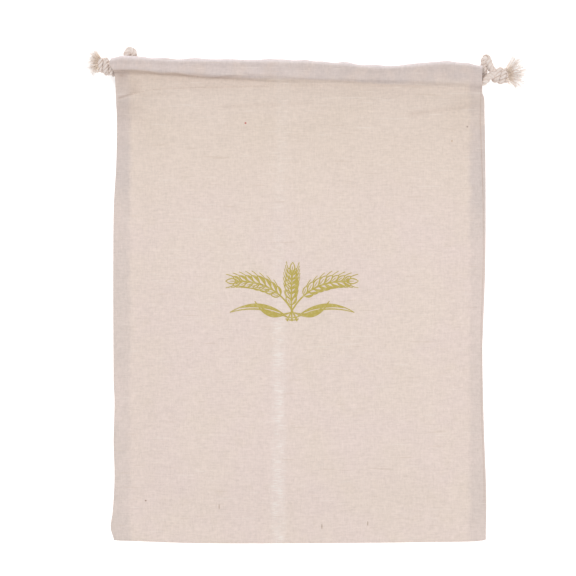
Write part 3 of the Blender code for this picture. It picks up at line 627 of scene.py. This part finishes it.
def heights(x, y, share, kind, nominal):
    """The eight (y, z) pairs of one spot, from the back's outer face to the front's."""
    lift = front_lift(x)
    lower_front, upper = value_at(FRONT_LOWER_CORD, nominal), upper_cord(nominal)
    lower_back = value_at(BACK_LOWER_CORD, nominal)
    stitch = value_at(HEM_STITCH, nominal)
    if kind == "panel":
        inner = front_inner(x, y)
        turned = CLOTH * ease((y - stitch + 0.013) / 0.012) + hem_swell(x) * ease((y - stitch + 0.021) / 0.020)
        outer = inner + CLOTH + turned
        if abs(nominal) >= SEAM_LINE - 1e-6:
            outer = mix(SEAM_STACK, lift + CLOTH + turned, hem_share(x, y)) + 0.5 * folds(x, y)
            outer -= slit_depth(nominal) * ease((y - 0.01) / 0.10) * (1 - hem_share(x, y))
            inner = min(inner, outer - CLOTH)
        levels = [0.0, 0.0004, 0.0007, CLOTH, inner, inner + 0.0003, inner + 0.0007, outer]
        return [(y, level) for level in levels]
    if kind == "flat":
        levels = [0.0, CLOTH, CLOTH + 0.0001, 2 * CLOTH]
        levels += [lift, lift + CLOTH, lift + CLOTH + 0.0001, lift + 2 * CLOTH + hem_swell(x)]
        return [(y, level) for level in levels]
    lane = max(stitch + 0.0012, lower_front - 0.0076)
    if kind == "tunnel":
        front = max(0.00015, tunnel_height(x, y, lower_front, upper, lane))
        back = max(0.00015, tunnel_height(x, y, min(lower_back, lower_front + 0.002), upper, lane))
        wave = 0.00022 * pucker(x, y) * ease((y - lane) / 0.006) + folds(x, y)
        levels = [0.0, CLOTH, CLOTH + back, 2 * CLOTH + back]
        swollen = hem_swell(x) + front * (1 - hem_swell(x) / (2 * TUNNEL))
        levels += [lift, lift + CLOTH, lift + CLOTH + front, lift + 2 * CLOTH + swollen + wave]
        return [(y, level) for level in levels]
    rise = math.sqrt(max(0.0, 1 - share * share))
    gather = 0.00052 * pucker(x, y) * ease(share * 1.5)
    pairs = []
    for middle in (HEM_HALF, lift + HEM_HALF):
        out = max(HEM_HALF * rise, 0.0003)
        within = max(TUNNEL * rise, 0.0001)
        pairs += [
            (upper + HEM_HALF * share + gather, middle - out), (upper + TUNNEL * share, middle - within),
            (upper + TUNNEL * share, middle + within), (upper + HEM_HALF * share + gather, middle + out),
        ]
    return pairs


def make_cloth(made):
    columns = columns_of()
    grid, kinds = [], []
    for nominal in columns:
        line = []
        rows = rows_of(nominal)
        for y, share, kind in rows:
            at = nominal + slit_drift(nominal, y) if kind == "panel" else nominal
            x, moved = outline(at, y if kind != "lip" else y + HEM_HALF * share)
            if kind == "panel":
                y = moved
            line.append((x, heights(x, y, share, kind, nominal)))
        kinds = [row[2] for row in rows]
        grid.append(line)
    wide, long = len(columns) - 1, len(kinds) - 1
    fullness = {0: 0.12, 1: 0.45, 2: 0.72, 3: 0.90}

    def filled(i, j, layer):
        if not (0 <= i < wide and 0 <= j < long and 0 <= layer < 7):
            return False
        middle = (columns[i] + columns[i + 1]) / 2
        kind = kinds[j + 1] if kinds[j] == "panel" else kinds[j]
        if kinds[j] == "panel" and kinds[j + 1] == "panel":
            return layer != POCKET or abs(middle) > SEAM_LINE or j < 4
        if kinds[j] == "panel":
            kind = "flat"
        if layer == POCKET:
            return False
        if layer <= BACK_INNER and middle < LEFT_BACK_END:
            return False
        if kind == "flat":
            return True
        last = j >= long - 2
        if layer in (BACK_CORE, FRONT_CORE):
            return last and not (middle < LEFT_BACK_STOP and layer == BACK_CORE)
        if layer == FRONT_INNER:
            return LEFT_FRONT_STOP < middle < RIGHT_STOP
        if layer == BACK_INNER:
            return LEFT_BACK_STOP < middle < RIGHT_STOP
        return True

    mesh = bmesh.new()
    shades = mesh.verts.layers.float.new("shade")
    casings = mesh.verts.layers.float.new("casing")
    fronts = mesh.verts.layers.float.new("front")
    rim_highlight_layer = mesh.verts.layers.float.new("painted_rim_highlight")
    verts = {}

    def vertex(i, j, level):
        key = (i, j, level)
        if key not in verts:
            x, pairs = grid[i][j]
            y, z = pairs[level]
            side = min(i, wide - i)
            if kinds[j] == "panel":
                full = fullness.get(side, 1.0)
                full = mix(full, 1.0, hem_share(x, y)) * fullness.get(j, 1.0)
                top = pairs[7][1]
                z = mix(top / 2, z, full)
            verts[key] = mesh.verts.new((x, y, z))
            if level == 7:
                verts[key][fronts] = 1.0
            # Stored for the material: painted shade, the casing's tone, and the painted highlight on the casing's rim.
            if level == 7 and y > 0.14:
                verts[key][shades] = shade(x, y)
                verts[key][casings] = casing_share(x, y)
                verts[key][rim_highlight_layer] = ease((y - upper_cord(columns[i]) + 0.0005) / (HEM_HALF + 0.0004))
        return verts[key]

    near = ((-1, 0, 0), (1, 0, 0), (0, -1, 0), (0, 1, 0), (0, 0, -1), (0, 0, 1))
    corner = {
        (-1, 0, 0): ((0, 0, 0), (0, 0, 1), (0, 1, 1), (0, 1, 0)),
        (1, 0, 0): ((1, 0, 0), (1, 1, 0), (1, 1, 1), (1, 0, 1)),
        (0, -1, 0): ((0, 0, 0), (1, 0, 0), (1, 0, 1), (0, 0, 1)),
        (0, 1, 0): ((0, 1, 0), (0, 1, 1), (1, 1, 1), (1, 1, 0)),
        (0, 0, -1): ((0, 0, 0), (0, 1, 0), (1, 1, 0), (1, 0, 0)),
        (0, 0, 1): ((0, 0, 1), (1, 0, 1), (1, 1, 1), (0, 1, 1)),
    }
    for i in range(wide):
        for j in range(long):
            for layer in range(7):
                if not filled(i, j, layer):
                    continue
                for step in near:
                    if filled(i + step[0], j + step[1], layer + step[2]):
                        continue
                    places = [(i + a, j + b, layer + c) for a, b, c in corner[step]]
                    mesh.faces.new([vertex(*place) for place in places])
    bmesh.ops.recalc_face_normals(mesh, faces=mesh.faces[:])
    cloth = new_piece("linen_bag", mesh, made)
    cloth.data.set_sharp_from_angle(angle=math.radians(50))
    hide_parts("bag_cloth")
    return cloth


# ---- The drawstrings ----
def hem_run(lower, height, start, end):
    count = max(2, round(abs(end - start) / 0.006))
    points = []
    for k in range(count + 1):
        x = mix(start, end, k / count)
        y = value_at(lower, x) if lower else upper_cord(x)
        points.append((x, y, height(x)))
    return points


def smooth_route(stretches):
    """(point, spacing) pairs of one smooth curve through every stretch."""
    route = []
    for points, step in stretches:
        route += [(Vector(point), step) for point in points]
    places = [0.0]
    for (a, _), (b, _) in zip(route, route[1:]):
        places.append(places[-1] + (b - a).length)

    def tangent(k):
        low, high = max(0, k - 1), min(len(route) - 1, k + 1)
        return (route[high][0] - route[low][0]) / (places[high] - places[low])

    read = []
    for k in range(len(route) - 1):
        (a, step_a), (b, step_b) = route[k], route[k + 1]
        span = places[k + 1] - places[k]
        count = max(1, round(span / max(step_a, step_b)))
        for n in range(count):
            s = n / count
            point = a * (1 + 2 * s) * (1 - s) ** 2 + b * s * s * (3 - 2 * s)
            point += span * (tangent(k) * s * (1 - s) ** 2 + tangent(k + 1) * s * s * (s - 1))
            read.append(point)
    read.append(route[-1][0])
    return read


def frames_along(points):
    """(point, across, up, length so far) down a path, without twisting."""
    frames, across, far = [], None, 0.0
    for k, point in enumerate(points):
        ahead = (points[min(k + 1, len(points) - 1)] - points[max(k - 1, 0)]).normalized()
        if across is None:
            across = ahead.orthogonal().normalized()
        else:
            across = (across - ahead * across.dot(ahead)).normalized()
            far += (point - points[k - 1]).length
        frames.append((point, across, ahead.cross(across), far))
    return frames


def add_strand(mesh, uv, rings_of, sides, look=0):
    """Skin over rings of (centre, across, up, radius, length), with fibre coordinates."""
    rings = []
    for centre, across, up, radius, far in rings_of:
        ring = []
        for side in range(sides):
            turn = 2 * math.pi * side / sides
            ring.append(mesh.verts.new(centre + (across * math.cos(turn) + up * math.sin(turn)) * radius))
        rings.append(ring)
    for k in range(len(rings) - 1):
        for side in range(sides):
            after = (side + 1) % sides
            face = mesh.faces.new((rings[k][side], rings[k][after], rings[k + 1][after], rings[k + 1][side]))
            face.smooth = True
            face.material_index = look
            near, far = rings_of[k][4], rings_of[k + 1][4]
            corners = ((near, side), (near, side + 1), (far, side + 1), (far, side))
            for loop, (along, round_) in zip(face.loops, corners):
                loop[uv].uv = (round_ / sides, along * 60)
    mesh.faces.new(list(reversed(rings[0])))
    mesh.faces.new(rings[-1])


def add_rope(mesh, uv, points, radius, lay, sides=9, start=0.0):
    """Three strands laid round each other. radius is one value, or one for each point."""
    radii = radius if hasattr(radius, "__len__") else [radius] * len(points)
    axis = frames_along(points)
    for which in range(3):
        centres = []
        for (point, across, up, far), size in zip(axis, radii):
            turn = 2 * math.pi * (which / 3 + (far + start) / lay)
            centres.append(point + (across * math.cos(turn) + up * math.sin(turn)) * size * 0.52)
        rings = []
        for k, (centre, _, _, far) in enumerate(frames_along(centres)):
            ahead = (centres[min(k + 1, len(centres) - 1)] - centres[max(k - 1, 0)]).normalized()
            out = centre - points[k]
            out = (out - ahead * out.dot(ahead)).normalized()
            rings.append((centre, out, ahead.cross(out), radii[k] * 0.56, far))
        add_strand(mesh, uv, rings, sides)


OPEN, HIDDEN = 0.00055, 0.0020
LAY = 0.0105
LOOSE = 0.0029
YARNS, STRAYS = 26, 26


def swell(points):
    """Radius of the rope at each point: full where it is loose, pressed where a hem holds it."""
    radii = []
    for point in points:
        from_left = ease((-0.1395 - point.x) / 0.003)
        from_right = ease((point.x - 0.1465) / 0.003)
        above = ease((point.y - 0.1945) / 0.002)
        radii.append(mix(CORD / 2, LOOSE, max(from_left, from_right, above)))
    return radii


def make_cord(name, stretches, made, node):
    points = smooth_route(stretches)
    mesh = bmesh.new()
    uv = mesh.loops.layers.uv.new("fibre")
    add_rope(mesh, uv, points, swell(points), LAY)
    bmesh.ops.recalc_face_normals(mesh, faces=mesh.faces[:])
    rope = new_piece(name, mesh, made)
    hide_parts(node)
    return points


def round_axis(direction):
    """A level direction, the one beside it, and up."""
    along = Vector(direction).normalized()
    return along, Vector((-along.y, along.x, 0.0)), Vector((0.0, 0.0, 1.0))


def wrap(knot, first, turns, reach, low, high, hand):
    """One cord of the knot, wound round the others and drawn in at both ends."""
    along, side, up = round_axis(knot["axis"])
    points = []
    count = 56
    for k in range(count + 1):
        s = k / count
        turn = 2 * math.pi * (first + hand * turns * s)
        out = reach * math.sin(math.pi * (0.12 + 0.76 * s)) ** 0.5
        ring = side * math.cos(turn) * out + up * math.sin(turn) * 0.85 * out
        points.append(Vector(knot["centre"]) + along * mix(low, high, s) + ring)
    return points


def make_knot(name, knot, necks, made, node):
    """An overhand knot of the doubled cord, and its frayed end."""
    mesh = bmesh.new()
    uv = mesh.loops.layers.uv.new("fibre")
    centre, tail = Vector(knot["centre"]), Vector(knot["tail"])
    fan, side, up = round_axis(knot["fan"])
    for first, turns, reach, low, high, hand in knot["wraps"]:
        add_rope(mesh, uv, wrap(knot, first, turns, reach, low, high, hand), 0.0024, 0.0092, 8)
    for end, away in necks:
        inside = end.lerp(centre, 0.7)
        points = smooth_route((((tuple(end - away * 0.0001), tuple(end - away * 0.0016), tuple(inside)), OPEN),))
        add_rope(mesh, uv, points, LOOSE, LAY, 8)
    chance = random.Random(knot["seed"])
    before, ahead, after = knot["reach"]

    def spread(root, share, curl, widest=1.0):
        """One fibre's path from the root: share of its full length, and how much it bends."""
        place = chance.uniform(-1, 1)
        turn = place * knot["open"] * widest
        full = mix(ahead, before, -place) if place < 0 else mix(ahead, after, place)
        way = fan * math.cos(turn) + side * math.sin(turn) + up * chance.uniform(-0.45, 0.40)
        bend = side * chance.uniform(-1, 1) * curl - up * chance.uniform(0, 0.3)
        start = root + side * place * 0.0042 + up * chance.uniform(-0.0024, 0.0024)
        points = []
        for k in range(7):
            s = k / 6
            kink = side * chance.uniform(-1, 1) * 0.00025 * s
            points.append(start + (way * s + bend * s * s) * full * share + kink)
        return points

    def add_fibre(points, thick, thin, sides):
        low = [Vector((p.x, p.y, max(p.z, thick))) for p in points]
        rings = [
            (p, a, u, mix(thick, thin, k / (len(low) - 1)), f)
            for k, (p, a, u, f) in enumerate(frames_along(low))
        ]
        add_strand(mesh, uv, rings, sides, 1)

    # Yarns of the unlaid end, then single fibres, then those that stand off the knot.
    for k in range(YARNS):
        root = centre.lerp(tail, chance.uniform(0.4, 1.0))
        add_fibre(spread(root, chance.uniform(0.50, 0.80), 0.20, 0.9), 0.00060, 0.00022, 6)
    for k in range(knot["fibres"]):
        root = centre.lerp(tail, chance.uniform(0.8, 1.1))
        add_fibre(spread(root, chance.uniform(0.55, 1.0), 0.30), 0.00016, 0.00009, 4)
    for k in range(STRAYS):
        root = centre.lerp(tail, chance.uniform(-0.8, 0.8))
        add_fibre(spread(root, chance.uniform(0.55, 0.75), 0.60, 1.2), 0.00010, 0.00006, 4)
    bmesh.ops.recalc_face_normals(mesh, faces=mesh.faces[:])
    piece = new_piece(name, mesh, made)
    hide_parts(node)
    return piece


def front_top(x, y):
    """Height of the front panel's outer face at a real point."""
    return front_inner(x, y) + CLOTH


# ---- The print: ears of grain ----
def add_stroke(mesh, points, widths):
    """A thin raised ribbon of ink that follows the cloth, each a hair over the one before."""
    lower, upper = [], []
    over = 0.0000025 * (len(mesh.verts) % 997) / 33
    for k, (x, y) in enumerate(points):
        a, b = points[max(k - 1, 0)], points[min(k + 1, len(points) - 1)]
        dx, dy = b[0] - a[0], b[1] - a[1]
        long = math.hypot(dx, dy) or 1.0
        nx, ny = -dy / long * widths[k] / 2, dx / long * widths[k] / 2
        for store, up in ((lower, -0.00030), (upper, 0.00010)):
            row = [(x + nx, y + ny), (x - nx, y - ny)]
            store.append([mesh.verts.new((px, py, front_top(px, py) + up + over)) for px, py in row])
    for k in range(len(points) - 1):
        for store in (lower, upper):
            mesh.faces.new((store[k][0], store[k][1], store[k + 1][1], store[k + 1][0]))
        for side in (0, 1):
            mesh.faces.new((lower[k][side], lower[k + 1][side], upper[k + 1][side], upper[k][side]))
    for k in (0, -1):
        mesh.faces.new((lower[k][0], lower[k][1], upper[k][1], upper[k][0]))


def curve(a, b, bulge, count):
    """Points from a to b, bowed sideways by bulge times their distance."""
    dx, dy = b[0] - a[0], b[1] - a[1]
    points = []
    for k in range(count + 1):
        s = k / count
        off = bulge * 4 * s * (1 - s)
        points.append((a[0] + dx * s - dy * off, a[1] + dy * s + dx * off))
    return points


def tapered(count, width, ends=0.35):
    return [width * (ends + (1 - ends) * math.sin(math.pi * min(1, max(0, k / count)))) for k in range(count + 1)]


def add_kernel(mesh, root, heading, long, wide, line, solid):
    """One grain: an outline with a pointed end, and a solid shade on one side."""
    tip = (root[0] + math.cos(heading) * long, root[1] + math.sin(heading) * long)
    bow = wide / long
    for side in (bow, -bow):
        add_stroke(mesh, curve(root, tip, side, 8), tapered(8, line, 0.6))
    if solid:
        shade = curve(root, tip, -bow * 0.5, 8)
        add_stroke(mesh, shade, tapered(8, wide * 0.9, 0.05))
    else:
        inner = curve(root, tip, 0.0, 6)[1:5]
        add_stroke(mesh, inner, tapered(3, line * 0.7, 0.5))


def add_ear(mesh, stem, first, kernels, size, awn):
    """Kernels in pairs along the end of a stem, with long awns at the tip."""
    count = len(stem) - 1
    for k in range(kernels):
        place = first + (1 - first) * k / (kernels - 1)
        i = min(count - 1, int(place * count))
        x, y = stem[i]
        heading = math.atan2(stem[i + 1][1] - y, stem[i + 1][0] - x)
        shrink = size * (1.0 - 0.30 * abs(2 * k / (kernels - 1) - 0.8))
        for side in (1, -1):
            turn = heading + side * 0.52
            root = (x + math.cos(turn) * 0.0007, y + math.sin(turn) * 0.0007)
            add_kernel(mesh, root, turn, shrink, shrink * 0.22, 0.00095, side < 0)
            if awn:
                tip = (root[0] + math.cos(turn) * shrink, root[1] + math.sin(turn) * shrink)
                far = (tip[0] + math.cos(turn - side * 0.22) * awn, tip[1] + math.sin(turn - side * 0.22) * awn)
                add_stroke(mesh, curve(tip, far, 0.04 * side, 5), [0.00075 - 0.00005 * n for n in range(6)])
    x, y = stem[-1]
    heading = math.atan2(y - stem[-2][1], x - stem[-2][0])
    add_kernel(mesh, (x, y), heading, size, size * 0.2, 0.00095, False)


PRINT_CENTRE = (-0.0060, 0.0085)


def add_leaf(mesh, root, tip, bow, wide):
    """A long leaf: two bowed edges that meet at the tip, and one half of it solid."""
    add_stroke(mesh, curve(root, tip, bow, 24), tapered(24, 0.0011, 0.5))
    add_stroke(mesh, curve(root, tip, bow + wide, 24), tapered(24, 0.0011, 0.5))
    add_stroke(mesh, curve(root, tip, bow + wide * 0.68, 24)[3:21], tapered(17, wide * 0.036, 0.05))


def make_print(made):
    """Two ears that lean out from a third, over a pair of leaves each side."""
    mesh = bmesh.new()
    cx, cy = PRINT_CENTRE

    def at(x, y):
        return (cx + x, cy + y)

    for flip in (1, -1):
        stem = curve(at(-0.0040 * flip, -0.0250), at(0.0430 * flip, 0.0070), 0.17 * flip, 36)
        add_stroke(mesh, stem, [0.0012] * len(stem))
        add_ear(mesh, stem, 0.40, 8, 0.0104, 0.0060)
        add_leaf(mesh, at(0.0030 * flip, -0.0225), at(0.0500 * flip, -0.0180), 0.10 * flip, 0.085 * flip)
        add_leaf(mesh, at(0.0010 * flip, -0.0180), at(0.0300 * flip, -0.0090), -0.16 * flip, -0.09 * flip)
    stem = curve(at(0.0, -0.0250), at(0.0, 0.0125), 0.015, 30)
    add_stroke(mesh, stem, [0.0012] * len(stem))
    add_ear(mesh, stem, 0.36, 7, 0.0098, 0.0056)
    for down in (-0.0212, -0.0232):
        add_stroke(mesh, curve(at(-0.0052, down), at(0.0052, down), -0.10, 10), [0.0010] * 11)
    bmesh.ops.recalc_face_normals(mesh, faces=mesh.faces[:])
    return new_piece("grain_print", mesh, made, smooth=False)


# ---- The stitching ----
def make_stitches(made):
    """One line of lockstitch along the hem, front and back."""
    mesh = bmesh.new()
    uv = mesh.loops.layers.uv.new("fibre")
    pitch, long = 0.0028, 0.0023
    x = -0.1435
    while x < 0.1440:
        for back in (False, True):
            points = []
            for s in (0.0, 0.18, 0.5, 0.82, 1.0):
                px = x + long * s
                py = value_at(HEM_STITCH, px) + 0.0004
                arch = 0.00016 * math.sin(math.pi * s) - 0.00022 * (s in (0.0, 1.0))
                if back:
                    pz = 0.00030 - 0.5 * arch
                else:
                    pz = front_lift(px) + 2 * CLOTH + arch
                points.append(Vector((px, py, pz)))
            rings = [(p, a, u, 0.00019, f) for p, a, u, f in frames_along(points)]
            add_strand(mesh, uv, rings, 5)
        x += pitch
    bmesh.ops.recalc_face_normals(mesh, faces=mesh.faces[:])
    return new_piece("hem_stitching", mesh, made)


# ---- Camera, floor and light ----
PIXEL = 0.000805
LENS = 200.0


def make_stage():
    camera = bpy.data.cameras.new("camera")
    camera.lens = LENS
    camera.sensor_width = 36.0
    far = 576 * PIXEL / (camera.sensor_width / camera.lens)
    seen = bpy.data.objects.new("camera", camera)
    seen.location = (-11.5 * PIXEL, 12.5 * PIXEL, far + 0.0085)
    camera.clip_end = 20.0
    bpy.context.scene.collection.objects.link(seen)
    bpy.context.scene.camera = seen

    floor = bmesh.new()
    bmesh.ops.create_grid(floor, x_segments=2, y_segments=2, size=6.0)
    data = bpy.data.meshes.new("floor")
    floor.to_mesh(data)
    floor.free()
    plain = bpy.data.materials.new("white table")
    plain.use_nodes = True
    shader = plain.node_tree.nodes["Principled BSDF"]
    shader.inputs["Base Color"].default_value = (0.93, 0.93, 0.93, 1)
    shader.inputs["Roughness"].default_value = 0.9
    shader.inputs["Specular IOR Level"].default_value = 0.1
    shader.inputs["Emission Color"].default_value = (1, 1, 1, 1)
    shader.inputs["Emission Strength"].default_value = 0.5
    data.materials.append(plain)
    table = bpy.data.objects.new("floor", data)
    table.location.z = -0.0004
    bpy.context.scene.collection.objects.link(table)

    world = bpy.data.worlds.new("studio")
    world.use_nodes = True
    world.node_tree.nodes["Background"].inputs["Color"].default_value = (1.0, 1.0, 1.0, 1.0)
    world.node_tree.nodes["Background"].inputs["Strength"].default_value = 0.62
    bpy.context.scene.world = world
    for name, place, size, power in (
        ("key", (-0.5, 1.5, 1.8), 0.9, 12.5),
        ("fill", (0.9, -0.8, 1.9), 1.4, 9.0),
    ):
        light = bpy.data.lights.new(name, "AREA")
        light.size = size
        light.energy = power
        lamp = bpy.data.objects.new(name, light)
        lamp.location = place
        lamp.rotation_euler = (-Vector(place)).to_track_quat("-Z", "Y").to_euler()
        bpy.context.scene.collection.objects.link(lamp)
    bpy.context.scene.view_settings.view_transform = "Standard"


make_stage()
# The last colour is the painted shade between the strands.
cord_look = cord_material("twisted cotton", rgb(250, 239, 233), rgb(234, 218, 208), rgb(182, 151, 129))
fray_look = fray_material()
linen_look = linen_material()


def front_height(x):
    return front_lift(x) + HEM_HALF


def back_height(x):
    return HEM_HALF


LEFT_ROUTE = (
    (LEFT_CORD_START, OPEN),
    (hem_run(None, front_height, -0.1320, 0.1300), HIDDEN),
    (LEFT_CORD_TURN, OPEN),
    (hem_run(None, back_height, 0.1330, -0.1400), HIDDEN),
    (LEFT_CORD_END, OPEN),
)
RIGHT_ROUTE = (
    (RIGHT_CORD_START, OPEN),
    (hem_run(FRONT_LOWER_CORD, front_height, 0.1420, -0.1200), HIDDEN),
    (RIGHT_CORD_TURN, OPEN),
    (hem_run(BACK_LOWER_CORD, back_height, -0.1180, 0.1400), HIDDEN),
    (RIGHT_CORD_END, OPEN),
)


def necks_of(stretches):
    points = smooth_route(stretches)
    return [
        (points[0], (points[1] - points[0]).normalized()),
        (points[-1], (points[-2] - points[-1]).normalized()),
    ]


knot_left = make_knot("tied_end_left", KNOTS["left"], necks_of(LEFT_ROUTE), (cord_look, fray_look), "knot_left")
knot_right = make_knot("tied_end_right", KNOTS["right"], necks_of(RIGHT_ROUTE), (cord_look, fray_look), "knot_right")
make_cord("rope_left", LEFT_ROUTE, cord_look, "drawstring_left")
make_cord("rope_right", RIGHT_ROUTE, cord_look, "drawstring_right")
cloth = make_cloth(linen_look)
stitching = make_stitches(linen_look)
grain = make_print(ink_material())
